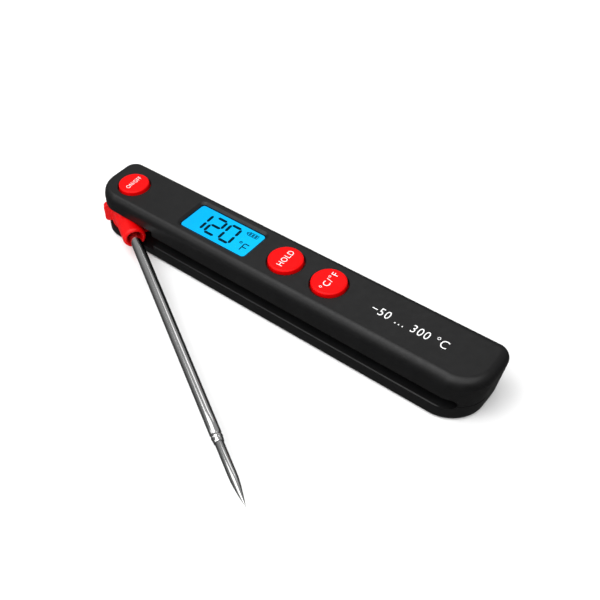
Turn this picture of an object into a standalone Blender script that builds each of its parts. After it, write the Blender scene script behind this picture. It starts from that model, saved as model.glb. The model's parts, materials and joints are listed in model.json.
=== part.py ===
"""Folding meat thermometer: a slim handle with a display, and a probe that folds into its side.

The handle lies on its flat back. +X runs from the hinge to the far end, +Z is up through the
display, and the probe folds into a slot in the -Y side. The origin is the middle of the back.
"""
import math

import bmesh
import bpy
from mathutils import Matrix, Vector

MM = 0.001

# Handle
LENGTH = 157.2 * MM          # in the plane of the top face, before its edge is rounded
HEIGHT = 19.0 * MM
HALF_WIDTH_HINGE = 10.4 * MM
HALF_WIDTH_FAR = 11.65 * MM
CORNERS = (9.2 * MM, 11.1 * MM, 4.6 * MM, 5.0 * MM)   # in plan, counter-clockwise from the hinge's -Y corner
END_CROWN = 0.6 * MM         # bulge of the far end in plan
END_LEAN = 3.6 * MM          # how much shorter the back is than the top at the far end
EDGE_TOP_IN = 2.3 * MM        # the top edge is a quarter ellipse, deeper than it is wide
EDGE_SPREAD = 1.55           # how much wider that edge is at the far end
EDGE_TOP_DOWN = 4.0 * MM
EDGE_BACK = 1.5 * MM
WALL = 1.6 * MM
PARTING_Z = 6.9 * MM
GAP = 0.3 * MM               # clearance between pieces that touch in the real thing
RIM_STEP = 0.06 * MM         # inner walls stop this far short of the shells' rims
HINGE_X = -68.7 * MM
HINGE_END_X = HINGE_X - 10.45 * MM
FAR_END_X = HINGE_END_X + LENGTH

# Buttons, display
ON_OFF_X = HINGE_X + 0.85 * MM
ON_OFF_Y = -1.05 * MM
HOLD_X = HINGE_X + 67.8 * MM
UNIT_X = HINGE_X + 85.1 * MM
ON_OFF_RADIUS = 5.3 * MM
BUTTON_RADIUS = 5.87 * MM
BUTTON_PROUD = 1.3 * MM
ON_OFF_PROUD = 1.2 * MM
BUTTON_TRAVEL = 0.4 * MM
FLANGE = 1.0 * MM            # how far a button's flange reaches under the shell
DISPLAY_X = HINGE_X + 40.9 * MM
DISPLAY_SIZE = (27.6 * MM, 12.0 * MM)
DISPLAY_FRAME = 1.1 * MM     # width of the sloped frame round the display
DISPLAY_DEPTH = 0.65 * MM
LENS_TOP = HEIGHT - DISPLAY_DEPTH

# Probe
PROBE_ANGLE = math.radians(-30.84)   # direction of the open probe, seen from above
PROBE_Z = 7.92 * MM
PROBE_OFFSET = 5.67 * MM     # the probe runs beside the pivot, not through it
TUBE_RADIUS = 1.95 * MM
TUBE_RADIUS_END = 1.82 * MM
TIP_RADIUS = 1.38 * MM
HUB_RADIUS = 10.1 * MM
HUB_HALF_HEIGHT = 4.1 * MM
BARREL_RADIUS = 4.05 * MM
BARREL_MOUTH = 16.2 * MM
STEP_AT = 110.6 * MM         # distance along the probe of the reduction in diameter
POINT_AT = 122.6 * MM
TIP_AT = 133.8 * MM
SLOT_INNER_Y = -3.35 * MM
SLOT_HALF_HEIGHT = 2.25 * MM
SLOT_END_X = HINGE_X + 139.0 * MM
JAW_LOW_Z = PROBE_Z - HUB_HALF_HEIGHT - GAP
JAW_HIGH_Z = PROBE_Z + HUB_HALF_HEIGHT + GAP
SPIGOT_RADIUS = 4.3 * MM
POCKET_LENGTH = 16.9 * MM    # room for the folded barrel beside the slot's mouth
THUMB_ANGLE = math.radians(-101.0)
THUMB_REACH = 12.25 * MM
THUMB_WIDTH = 2.3 * MM
THUMB_HEIGHT = 7.3 * MM
THUMB_RIM = 0.8 * MM

# Inside
CEILING_Z = HEIGHT - WALL
BOARD_Z = 13.6 * MM
BOARD_THICKNESS = 0.8 * MM
BOARD_END_X = HINGE_X + 91.0 * MM
CHANNEL_WALL = 0.9 * MM
CELL_RADIUS = 5.25 * MM
CELL_Y = 3.2 * MM
CELL_Z = 7.2 * MM
CELL_START_X = HINGE_X + 89.6 * MM
CELL_LENGTH = 43.3 * MM      # without the positive nub
NUB_LENGTH = 1.2 * MM
NUB_RADIUS = 1.9 * MM
DOOR_START_X = HINGE_X + 86.8 * MM
DOOR_THICKNESS = 1.5 * MM
DOOR_HALF_WIDTH = 5.45 * MM
DOOR_Y = 3.15 * MM
DOOR_TONGUE = 0.8 * MM
SCREWS = ((HINGE_X + 15.6 * MM, 5.4 * MM), (HINGE_X + 60.0 * MM, 7.3 * MM), (HINGE_X + 76.5 * MM, 7.3 * MM))
SCREW_BOSS = 2.1 * MM


# ---------------------------------------------------------------- helpers

def clear_scene():
    for obj in list(bpy.data.objects):
        bpy.data.objects.remove(obj)


def material(name, colour, roughness, metallic=0.0, alpha=1.0):
    mat = bpy.data.materials.new(name)
    mat.use_nodes = True
    shader = mat.node_tree.nodes["Principled BSDF"]
    shader.inputs["Base Color"].default_value = (*colour, 1.0)
    shader.inputs["Roughness"].default_value = roughness
    shader.inputs["Metallic"].default_value = metallic
    shader.inputs["Alpha"].default_value = alpha
    return mat


def new_object(name, bm, mat=None, smooth=True):
    bmesh.ops.recalc_face_normals(bm, faces=bm.faces)
    mesh = bpy.data.meshes.new(name)
    bm.to_mesh(mesh)
    bm.free()
    obj = bpy.data.objects.new(name, mesh)
    bpy.context.scene.collection.objects.link(obj)
    if smooth:
        mesh.shade_smooth()
        mesh.set_sharp_from_angle(angle=math.radians(35))
    if mat is not None:
        mesh.materials.append(mat)
    return obj


def loft(name, rings, mat=None):
    """A closed solid through rings of equal length, each a list of points, with its ends capped."""
    bm = bmesh.new()
    loops = [[bm.verts.new(point) for point in ring] for ring in rings]
    count = len(loops[0])
    for low, high in zip(loops, loops[1:]):
        for i in range(count):
            j = (i + 1) % count
            bm.faces.new((low[i], low[j], high[j], high[i]))
    bm.faces.new(list(reversed(loops[0])))
    bm.faces.new(loops[-1])
    return new_object(name, bm, mat)


def prism(name, outline, z_low, z_high, mat=None):
    return loft(name, [[(x, y, z_low) for x, y in outline], [(x, y, z_high) for x, y in outline]], mat)


def box(name, low, high, mat=None):
    outline = ((low[0], low[1]), (high[0], low[1]), (high[0], high[1]), (low[0], high[1]))
    return prism(name, outline, low[2], high[2], mat)


def circle(radius, z, sides, centre=(0.0, 0.0)):
    turn = 2 * math.pi / sides
    return [(centre[0] + radius * math.cos(i * turn), centre[1] + radius * math.sin(i * turn), z)
            for i in range(sides)]


def turned(name, profile, sides, mat=None, centre=(0.0, 0.0)):
    """A solid of revolution about a vertical line through centre, from (radius, z) pairs."""
    return loft(name, [circle(radius, z, sides, centre) for radius, z in profile], mat)


def along_x(obj, start=(0.0, 0.0, 0.0)):
    """Lay a piece that was turned about Z along +X, from start."""
    obj.data.transform(Matrix.Translation(start) @ Matrix.Rotation(math.pi / 2, 4, "Y"))
    return obj


def tube_ring(name, inner, outer, z_low, z_high, sides, mat=None, centre=(0.0, 0.0), bevel=0.0):
    """A plain ring, or one with bevelled rims."""
    profile = [(inner, z_low + bevel), (inner + bevel, z_low), (outer - bevel, z_low), (outer, z_low + bevel)]
    profile += [(radius, z_low + z_high - z) for radius, z in reversed(profile)]
    if bevel == 0.0:
        profile = [(inner, z_low), (outer, z_low), (outer, z_high), (inner, z_high)]
    bm = bmesh.new()
    loops = [[bm.verts.new(point) for point in circle(radius, z, sides, centre)] for radius, z in profile]
    for k, low in enumerate(loops):
        high = loops[(k + 1) % len(loops)]
        for i in range(sides):
            j = (i + 1) % sides
            bm.faces.new((low[i], low[j], high[j], high[i]))
    return new_object(name, bm, mat)


def boolean(target, tool, operation):
    """Cut, join or intersect a solid with a hidden tool."""
    tool.hide_render = True
    tool.display_type = "WIRE"
    modifier = target.modifiers.new(tool.name, "BOOLEAN")
    modifier.operation = operation
    modifier.solver = "EXACT"
    modifier.object = tool


def cut(target, tool):
    boolean(target, tool, "DIFFERENCE")


def join(target, tool):
    boolean(target, tool, "UNION")


def wire(name, points, radius, mat):
    """A round wire through points, closed at both ends."""
    curve = bpy.data.curves.new(name, "CURVE")
    curve.dimensions = "3D"
    curve.bevel_depth = radius
    curve.bevel_resolution = 2
    curve.use_fill_caps = True
    spline = curve.splines.new("POLY")
    spline.points.add(len(points) - 1)
    for point, place in zip(spline.points, points):
        point.co = (*place, 1.0)
    obj = bpy.data.objects.new(name, curve)
    bpy.context.scene.collection.objects.link(obj)
    curve.materials.append(mat)
    return obj


def smooth_path(points, steps):
    """Points on a Catmull-Rom curve through the given points."""
    vectors = [Vector(p) for p in points]
    ends = [vectors[0] * 2 - vectors[1]] + vectors + [vectors[-1] * 2 - vectors[-2]]
    path = []
    for a, b, c, d in zip(ends, ends[1:], ends[2:], ends[3:]):
        for k in range(steps):
            t = k / steps
            bowed = (a * 2 - b * 5 + c * 4 - d) * t ** 2 + (b * 3 - a - c * 3 + d) * t ** 3
            path.append((b * 2 + (c - a) * t + bowed) / 2)
    path.append(vectors[-1])
    return path


# ---------------------------------------------------------------- outline of the handle

def corner(centre, radius, start, steps):
    """Points on a quarter circle, counter-clockwise from the angle start."""
    return [(centre[0] + radius * math.cos(start + k * math.pi / 2 / steps),
             centre[1] + radius * math.sin(start + k * math.pi / 2 / steps)) for k in range(steps + 1)]


def handle_outline(inset, z, spread=1.0):
    """The outline seen from above at the height z, pulled in by inset, times spread at the far end."""
    far_inset = inset * spread
    far_x = FAR_END_X - END_CROWN - END_LEAN * (HEIGHT - z) / HEIGHT - far_inset
    near_x = HINGE_END_X + inset
    half_near = HALF_WIDTH_HINGE - inset
    half_far = HALF_WIDTH_FAR - far_inset
    insets = (inset, far_inset, far_inset, inset)
    r_a, r_b, r_c, r_d = [max(radius - pull, 0.6 * MM) for radius, pull in zip(CORNERS, insets)]
    points = corner((near_x + r_a, -half_near + r_a), r_a, math.pi, 7)
    points += corner((far_x - r_b, -half_far + r_b), r_b, 1.5 * math.pi, 8)
    low = -half_far + r_b
    high = half_far - r_c
    for share in (0.25, 0.5, 0.75):
        points.append((far_x, low + share * (high - low)))
    points += corner((far_x - r_c, half_far - r_c), r_c, 0.0, 7)
    points += corner((near_x + r_d, half_near - r_d), r_d, 0.5 * math.pi, 6)
    crowned = []
    for x, y in points:
        reach = max(0.0, 1.0 - (y / half_far) ** 2) if x > 0.0 else 0.0
        crowned.append((x + END_CROWN * reach, y))
    return crowned


def half_width(x):
    """Half the handle's width at x, on its straight sides."""
    return HALF_WIDTH_HINGE + (HALF_WIDTH_FAR - HALF_WIDTH_HINGE) * (x - HINGE_END_X) / LENGTH


def handle_ring(inset, z, spread=1.0):
    return [(x, y, z) for x, y in handle_outline(inset, z, spread)]


def rounded_edge(inward, downward, z_flat, steps):
    """(inset, z) pairs of a rounded rim, from the side wall to the flat face."""
    pairs = []
    for k in range(steps + 1):
        angle = k * math.pi / 2 / steps
        pairs.append((inward * (1 - math.cos(angle)), z_flat - downward * (1 - math.sin(angle))))
    return pairs


def top_edge_rings():
    pairs = rounded_edge(EDGE_TOP_IN, EDGE_TOP_DOWN, HEIGHT, 6)
    return [handle_ring(inset, z, EDGE_SPREAD) for inset, z in pairs]


def back_edge():
    return rounded_edge(EDGE_BACK, -EDGE_BACK, 0.0, 3)


def outer_body(name):
    """The handle's whole outer shape as one solid."""
    return loft(name, [handle_ring(inset, z) for inset, z in reversed(back_edge())] + top_edge_rings())


def rounded_rectangle(centre, size, radius, steps=4):
    half_x = size[0] / 2 - radius
    half_y = size[1] / 2 - radius
    points = []
    for k, (sx, sy) in enumerate(((1, 1), (-1, 1), (-1, -1), (1, -1))):
        points += corner((centre[0] + sx * half_x, centre[1] + sy * half_y), radius, k * math.pi / 2, steps)
    return points


# ---------------------------------------------------------------- the shells

def hinge_gap(name):
    """The room between the two jaws: open at the hinge end and the -Y side, round at the hub."""
    low = (HINGE_END_X - 5 * MM, -20 * MM, JAW_LOW_Z)
    end = box(name, low, (HINGE_X + 6.2 * MM, 20 * MM, JAW_HIGH_Z))
    pocket_low = (HINGE_X, -20 * MM, JAW_LOW_Z)
    pocket_high = (HINGE_X + POCKET_LENGTH, -PROBE_OFFSET + BARREL_RADIUS + GAP, JAW_HIGH_Z)
    join(end, box(name + "_pocket", pocket_low, pocket_high))
    profile = [(HUB_RADIUS + GAP, JAW_LOW_Z), (HUB_RADIUS + GAP, JAW_HIGH_Z)]
    join(end, turned(name + "_hub", profile, 48, centre=(HINGE_X, 0.0)))
    return end


def probe_slot(name):
    """The slot that the probe folds into, with a round far end."""
    radius = SLOT_HALF_HEIGHT
    centre_x = SLOT_END_X - radius
    start_x = HINGE_X + POCKET_LENGTH - 4 * MM
    section = [(start_x, PROBE_Z + radius), (start_x, PROBE_Z - radius)]
    for k in range(9):
        angle = -math.pi / 2 + k * math.pi / 8
        section.append((centre_x + radius * math.cos(angle), PROBE_Z + radius * math.sin(angle)))
    return loft(name, [[(x, y, z) for x, z in section] for y in (-20 * MM, SLOT_INNER_Y)])


def divider_pocket(name):
    """The opening along the slot's inner side, which the divider strip closes."""
    half = SLOT_HALF_HEIGHT + 0.05 * MM
    low = (HINGE_X + POCKET_LENGTH - 1 * MM, SLOT_INNER_Y - 0.5 * MM, PROBE_Z - half)
    return box(name, low, (SLOT_END_X, SLOT_INNER_Y + CHANNEL_WALL + GAP, PROBE_Z + half))


def make_slot_divider(mat):
    """The strip between the shells that keeps juices in the slot away from the cell and the board."""
    half = SLOT_HALF_HEIGHT + 0.05 * MM - GAP
    low = (HINGE_X + POCKET_LENGTH + GAP, SLOT_INNER_Y, PROBE_Z - half)
    box("slot_divider", low, (SLOT_END_X - GAP, SLOT_INNER_Y + CHANNEL_WALL, PROBE_Z + half), mat)


def channel(name, z_low, z_high):
    """The solid strip along the -Y wall that the slot is cut into."""
    start_x = HINGE_X + 15 * MM
    end_x = SLOT_END_X + 1.2 * MM
    inner_y = SLOT_INNER_Y + CHANNEL_WALL
    wall = [(x, y) for x, y in handle_outline(WALL / 2, z_low) if start_x < x < end_x and y < 0.0]
    outline = [(start_x, WALL / 2 - half_width(start_x))] + wall
    outline += [(wall[-1][0], inner_y), (start_x, inner_y)]
    return prism(name, outline, z_low, z_high)


def make_upper_shell(mat):
    rim_z = PARTING_Z + GAP / 2
    inner_z = rim_z + RIM_STEP
    inner = [(WALL + 1.6 * MM, CEILING_Z), (WALL + 0.4 * MM, CEILING_Z - 0.7 * MM),
             (WALL, CEILING_Z - 1.9 * MM), (WALL, rim_z)]
    rings = [handle_ring(inset, z) for inset, z in inner + [(0.0, rim_z)]] + top_edge_rings()
    shell = loft("upper_shell", rings, mat)

    outline = clipped_outline(WALL / 2, HINGE_X + 19 * MM)
    join(shell, prism("upper_hinge_block", outline, inner_z, JAW_HIGH_Z + 1.0 * MM))
    join(shell, channel("upper_channel", inner_z, PROBE_Z + SLOT_HALF_HEIGHT + 1.2 * MM))
    for number, (x, y) in enumerate(SCREWS[1:], 2):
        profile = [(SCREW_BOSS, inner_z), (SCREW_BOSS, CEILING_Z + WALL / 2)]
        join(shell, turned(f"upper_boss_{number}", profile, 16, centre=(x, y)))

    cut(shell, hinge_gap("upper_hinge_gap"))
    cut(shell, probe_slot("upper_slot"))
    cut(shell, divider_pocket("upper_divider_pocket"))
    hole_radius = SPIGOT_RADIUS + 1.3 * MM
    profile = [(hole_radius, JAW_HIGH_Z - 1 * MM), (hole_radius, JAW_HIGH_Z + 1.5 * MM)]
    cut(shell, turned("upper_bearing_hole", profile, 32, centre=(HINGE_X, 0.0)))
    for name, centre, radius, _ in button_list():
        profile = [(radius + 0.35 * MM, CEILING_Z - 1 * MM), (radius + 0.35 * MM, HEIGHT - 0.35 * MM),
                   (radius + 0.85 * MM, HEIGHT + 0.15 * MM), (radius + 0.85 * MM, HEIGHT + 2 * MM)]
        cut(shell, turned(name + "_hole", profile, 40, centre=centre))
    cut(shell, display_opening())
    for number, (x, y) in enumerate(SCREWS, 1):
        profile = [(1.2 * MM, 0.0), (1.2 * MM, 12.0 * MM)]
        cut(shell, turned(f"upper_screw_hole_{number}", profile, 12, centre=(x, y)))


def clipped_outline(inset, end_x):
    """The hinge end of the handle's outline, cut straight at end_x."""
    points = [(x, y) for x, y in handle_outline(inset, HEIGHT) if x < end_x]
    lower = [p for p in points if p[1] < 0]
    upper = [p for p in points if p[1] >= 0]
    half = lower[-1][1]
    return lower + [(end_x, half), (end_x, -half)] + upper


def display_opening():
    """A window with a sloped frame round it."""
    size_x, size_y = DISPLAY_SIZE
    slope_end = GAP + DISPLAY_FRAME
    levels = ((GAP, CEILING_Z - 2 * MM), (GAP, LENS_TOP), (slope_end, HEIGHT), (slope_end, HEIGHT + 1 * MM))
    rings = []
    for grow, z in levels:
        size = (size_x + 2 * grow, size_y + 2 * grow)
        outline = rounded_rectangle((DISPLAY_X, 0.0), size, 0.8 * MM + grow)
        rings.append([(x, y, z) for x, y in outline])
    return loft("display_opening", rings)


def make_lower_shell(mat):
    rim_z = PARTING_Z - GAP / 2
    inner_z = rim_z - RIM_STEP
    pairs = [(WALL + 0.6 * MM, WALL), (WALL, WALL + 0.6 * MM), (WALL, rim_z), (0.0, rim_z)]
    pairs += back_edge()
    shell = loft("lower_shell", [handle_ring(inset, z) for inset, z in pairs], mat)

    join(shell, prism("lower_hinge_block", clipped_outline(WALL / 2, HINGE_X + 19 * MM), WALL / 2, inner_z))
    join(shell, channel("lower_channel", PROBE_Z - SLOT_HALF_HEIGHT - 1.2 * MM, inner_z))
    for number, (x, y) in enumerate(SCREWS[1:], 2):
        profile = [(SCREW_BOSS + 0.4 * MM, WALL / 2), (SCREW_BOSS + 0.4 * MM, inner_z)]
        join(shell, turned(f"lower_boss_{number}", profile, 16, centre=(x, y)))
    minus_x = CELL_START_X - 5.0 * MM
    plus_x = CELL_START_X + CELL_LENGTH + NUB_LENGTH + 1.0 * MM
    for name, x, low_z in (("bay_wall_minus", minus_x, WALL / 2), ("bay_wall_plus", plus_x, 2.4 * MM)):
        low = (x, SLOT_INNER_Y + CHANNEL_WALL / 2, low_z)
        join(shell, box(name, low, (x + 1.0 * MM, half_width(x) - WALL / 2, inner_z)))

    cut(shell, hinge_gap("lower_hinge_gap"))
    cut(shell, probe_slot("lower_slot"))
    cut(shell, divider_pocket("lower_divider_pocket"))
    profile = [(SPIGOT_RADIUS + 1.3 * MM, 1.4 * MM), (SPIGOT_RADIUS + 1.3 * MM, JAW_LOW_Z + 1 * MM)]
    cut(shell, turned("lower_bearing_socket", profile, 32, centre=(HINGE_X, 0.0)))
    for number, (x, y) in enumerate(SCREWS, 1):
        profile = [(2.1 * MM, -1 * MM), (2.1 * MM, 1.9 * MM), (1.2 * MM, 1.9001 * MM), (1.2 * MM, 9 * MM)]
        cut(shell, turned(f"lower_screw_hole_{number}", profile, 16, centre=(x, y)))
    cut(shell, door_shape("lower_door_opening", GAP))


def door_shape(name, clearance):
    """The battery door's plate with a tongue along each side; grown by clearance it is the opening."""
    half = DOOR_HALF_WIDTH + clearance
    wide = half + DOOR_TONGUE
    low_z = -1 * MM
    step_z = 0.9 * MM - clearance
    top_z = DOOR_THICKNESS + clearance * 1.5
    section = [(-half, low_z), (half, low_z), (half, step_z), (wide, step_z), (wide, top_z), (-wide, top_z),
               (-wide, step_z), (-half, step_z)]
    start_x = DOOR_START_X - clearance
    return loft(name, [[(x, DOOR_Y + y, z) for y, z in section] for x in (start_x, FAR_END_X + 5 * MM)])


def make_battery_door(mat):
    door = door_shape("battery_door", 0.0)
    door.data.materials.append(mat)
    boolean(door, outer_body("door_end_shape"), "INTERSECT")
    for k in range(5):
        x = DOOR_START_X + (4.5 + 1.8 * k) * MM
        low = (x, DOOR_Y - 3.5 * MM, -1 * MM)
        cut(door, box(f"door_grip_{k + 1}", low, (x + 0.9 * MM, DOOR_Y + 3.5 * MM, 0.45 * MM)))


# ---------------------------------------------------------------- buttons and switches

def button_list():
    """Name, centre, radius, and height above the shell of each button."""
    return (("on_off", (ON_OFF_X, ON_OFF_Y), ON_OFF_RADIUS, ON_OFF_PROUD),
            ("hold", (HOLD_X, 0.0), BUTTON_RADIUS, BUTTON_PROUD),
            ("unit", (UNIT_X, 0.0), BUTTON_RADIUS, BUTTON_PROUD))


def make_button(name, centre, radius, proud, cap_mat, plunger_mat):
    flange_z = CEILING_Z - GAP
    top_z = HEIGHT + proud
    profile = [(radius + FLANGE, flange_z - 0.7 * MM), (radius + FLANGE, flange_z), (radius, flange_z),
               (radius, top_z - 0.7 * MM), (radius - 0.12 * MM, top_z - 0.4 * MM),
               (radius - 0.45 * MM, top_z - 0.16 * MM), (radius - 1.1 * MM, top_z - 0.05 * MM),
               (radius * 0.5, top_z)]
    local = [(r, z - flange_z) for r, z in profile]
    cap = turned(name + "_button", local, 40, cap_mat)
    cap.location = (*centre, flange_z)
    plunger_top = flange_z - 0.7 * MM - 0.2 * MM
    profile = [(1.35 * MM, -0.8 * MM), (1.35 * MM, -0.15 * MM), (1.2 * MM, 0.0)]
    plunger = turned(name + "_switch_plunger", profile, 20, plunger_mat)
    plunger.location = (*centre, plunger_top)


def make_switch(name, centre, mat):
    low_z = BOARD_Z + BOARD_THICKNESS + 0.2 * MM
    high_z = low_z + 1.1 * MM
    outline = rounded_rectangle(centre, (6 * MM, 6 * MM), 0.6 * MM, 2)
    body = prism(name + "_switch", outline, low_z, high_z, mat)
    profile = [(1.65 * MM, low_z + 0.25 * MM), (1.65 * MM, high_z + 1 * MM)]
    cut(body, turned(name + "_switch_well", profile, 20, centre=centre))


# ---------------------------------------------------------------- display and electronics

def plate(name, centre, size, radius, z_low, z_high, mat):
    return prism(name, rounded_rectangle(centre, size, radius, 3), z_low, z_high, mat)


def make_display(lens_mat, gasket_mat, glass_mat, guide_mat, led_mat, strip_mat):
    size_x, size_y = DISPLAY_SIZE
    centre = (DISPLAY_X, 0.0)
    plate("display_lens", centre, DISPLAY_SIZE, 0.9 * MM, LENS_TOP - 0.8 * MM, LENS_TOP, lens_mat)
    wide = (size_x + 3.2 * MM, size_y + 3.2 * MM)
    gasket = plate("display_gasket", centre, wide, 1.0 * MM, 16.6 * MM, 17.2 * MM, gasket_mat)
    hole = (size_x - 0.8 * MM, size_y - 0.8 * MM)
    cut(gasket, plate("display_gasket_hole", centre, hole, 0.9 * MM, 16 * MM, 18 * MM, None))
    plate("lcd_panel", centre, wide, 0.3 * MM, 15.7 * MM, 16.4 * MM, glass_mat)
    guide_size = (size_x, size_y + 1.0 * MM)
    plate("backlight_guide", (DISPLAY_X, 0.9 * MM), guide_size, 0.3 * MM, 14.7 * MM, 15.45 * MM, guide_mat)
    led_x = DISPLAY_X + size_x / 2 + 1.6 * MM
    plate("backlight_led", (led_x, 0.9 * MM), (1.6 * MM, 3.2 * MM), 0.2 * MM, 14.65 * MM, 15.45 * MM, led_mat)
    strip_centre = (DISPLAY_X, -size_y / 2 - 0.75 * MM)
    plate("lcd_connector_strip", strip_centre, (size_x, 1.3 * MM), 0.2 * MM, 14.65 * MM, 15.5 * MM, strip_mat)


def make_board(board_mat, chip_mat):
    outline = clipped_outline(WALL + 0.6 * MM, BOARD_END_X)
    board = prism("main_circuit_board", outline, BOARD_Z, BOARD_Z + BOARD_THICKNESS, board_mat)
    for number, (x, y) in enumerate(SCREWS[1:], 2):
        profile = [(SCREW_BOSS + GAP, BOARD_Z - 1 * MM), (SCREW_BOSS + GAP, BOARD_Z + 2 * MM)]
        cut(board, turned(f"board_hole_{number}", profile, 16, centre=(x, y)))
    profile = [(1.0 * MM, BOARD_Z - 1.35 * MM), (2.6 * MM, BOARD_Z - 1.15 * MM),
               (3.6 * MM, BOARD_Z - 0.7 * MM), (3.9 * MM, BOARD_Z - 0.25 * MM)]
    turned("controller_chip", profile, 24, chip_mat, centre=(DISPLAY_X + 3 * MM, 1.5 * MM))


def make_battery(can_mat, contact_mat, spring_mat, lead_mat):
    end_x = CELL_LENGTH
    rim = CELL_RADIUS
    nub_end = end_x + NUB_LENGTH
    profile = [(rim - 0.5 * MM, 0.0), (rim, 0.4 * MM), (rim, end_x - 0.5 * MM), (rim - 0.5 * MM, end_x),
               (NUB_RADIUS + 0.4 * MM, end_x), (NUB_RADIUS, end_x + 0.2 * MM),
               (NUB_RADIUS, nub_end - 0.2 * MM), (NUB_RADIUS - 0.3 * MM, nub_end)]
    along_x(turned("battery_cell", profile, 32, can_mat), (CELL_START_X, CELL_Y, CELL_Z))

    spring_x = CELL_START_X - 0.35 * MM
    plate_x = CELL_START_X - 3.6 * MM
    half = 4.0 * MM
    contact_low = (plate_x, CELL_Y - half, 2.6 * MM)
    box("negative_contact", contact_low, (plate_x + 0.4 * MM, CELL_Y + half, BOARD_Z - GAP), contact_mat)
    make_spring("battery_spring", plate_x + 0.7 * MM, spring_x, spring_mat)

    plus_x = CELL_START_X + CELL_LENGTH + NUB_LENGTH + GAP
    contact_low = (plus_x, CELL_Y - half, 2.6 * MM)
    box("positive_contact", contact_low, (plus_x + 0.4 * MM, CELL_Y + half, 11.6 * MM), contact_mat)
    route = [(plus_x - 1.2 * MM, 6.6 * MM, 12.6 * MM), (plus_x - 10 * MM, 8.0 * MM, 13.2 * MM),
             (plus_x - 28 * MM, 8.3 * MM, 13.4 * MM), (BOARD_END_X + 1.2 * MM, 7.4 * MM, 14.0 * MM)]
    wire("positive_lead", smooth_path(route, 5), 0.45 * MM, lead_mat)


def make_spring(name, start_x, end_x, mat):
    """A conical coil spring along +X, wide at its fixed end."""
    turns = 3.0
    radius = 0.25 * MM
    steps = 42
    points = []
    for k in range(steps + 1):
        share = k / steps
        angle = 2 * math.pi * turns * share
        reach = (3.4 - 1.4 * share) * MM
        x = start_x + radius + (end_x - start_x - 2 * radius) * share
        points.append((x, CELL_Y + reach * math.cos(angle), CELL_Z + reach * math.sin(angle)))
    wire(name, points, radius, mat)


def make_screws(mat):
    for number, (x, y) in enumerate(SCREWS, 1):
        profile = [(1.5 * MM, 0.5 * MM), (1.75 * MM, 0.7 * MM), (1.75 * MM, 1.5 * MM), (0.85 * MM, 1.6 * MM),
                   (0.85 * MM, 10.6 * MM), (0.35 * MM, 11.4 * MM)]
        screw = turned(f"housing_screw_{number}", profile, 16, mat, centre=(x, y))
        for turn in (0.0, math.pi / 2):
            name = f"screw_{number}_recess_{turn > 0}"
            slot = box(name, (-1.1 * MM, -0.2 * MM, -0.2 * MM), (1.1 * MM, 0.2 * MM, 1.0 * MM))
            slot.location = (x, y, 0.0)
            slot.rotation_euler = (0.0, 0.0, turn)
            cut(screw, slot)


# ---------------------------------------------------------------- the probe

def hub_disc(mat):
    low = PROBE_Z - HUB_HALF_HEIGHT
    high = PROBE_Z + HUB_HALF_HEIGHT
    edge = 0.7 * MM
    profile = [(SPIGOT_RADIUS, low - 1.8 * MM), (SPIGOT_RADIUS, low), (HUB_RADIUS - edge, low),
               (HUB_RADIUS - 0.2 * MM, low + 0.2 * MM), (HUB_RADIUS, low + edge), (HUB_RADIUS, high - edge),
               (HUB_RADIUS - 0.2 * MM, high - 0.2 * MM), (HUB_RADIUS - edge, high), (SPIGOT_RADIUS, high),
               (SPIGOT_RADIUS, high + 1.1 * MM)]
    return turned("probe_hub", profile, 48, mat)


def cut_hub_grooves(hub):
    """Ring grooves round the spigots: one for the friction washer, one for the seal."""
    low = PROBE_Z - HUB_HALF_HEIGHT
    high = PROBE_Z + HUB_HALF_HEIGHT
    inner = SPIGOT_RADIUS + 0.3 * MM
    cut(hub, tube_ring("washer_groove", inner, 8.3 * MM, high - 0.8 * MM, high + 0.5 * MM, 48))
    cut(hub, tube_ring("seal_groove", inner, 6.9 * MM, low - 0.5 * MM, low + 1.3 * MM, 48))


def thumb_tab():
    """A fin on the hub's edge with a raised rim on both sides, for the thumb that swings the probe out."""
    root = 8.2 * MM
    bevel = 0.25 * MM
    half = THUMB_WIDTH / 2
    rings = []
    for across, inset in ((-half, bevel), (bevel - half, 0.0), (half - bevel, 0.0), (half, bevel)):
        size = (THUMB_HEIGHT - 2 * inset, THUMB_REACH - root - 2 * inset)
        outline = rounded_rectangle((0.0, (root + THUMB_REACH) / 2), size, 1.4 * MM - inset, 4)
        rings.append([(across, up, out) for up, out in outline])
    tab = loft("thumb_tab_shape", rings)
    reach = THUMB_REACH - THUMB_RIM
    height = THUMB_HEIGHT / 2 - THUMB_RIM
    for low, high in ((0.55 * MM, 2 * MM), (-2 * MM, -0.55 * MM)):
        cut(tab, box("thumb_tab_recess", (low, -height, root - 1 * MM), (high, height, reach)))
    outward = Vector((math.cos(THUMB_ANGLE), math.sin(THUMB_ANGLE), 0.0))
    sideways = Vector((-outward.y, outward.x, 0.0))
    turn = Matrix((sideways, Vector((0.0, 0.0, 1.0)), outward)).transposed().to_4x4()
    tab.data.transform(Matrix.Translation((0.0, 0.0, PROBE_Z)) @ turn)
    return tab


def probe_axis(name, profile, sides, mat=None):
    """A turned piece on the probe's axis, from (radius, distance along the probe) pairs."""
    return along_x(turned(name, profile, sides, mat), (0.0, -PROBE_OFFSET, PROBE_Z))


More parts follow.
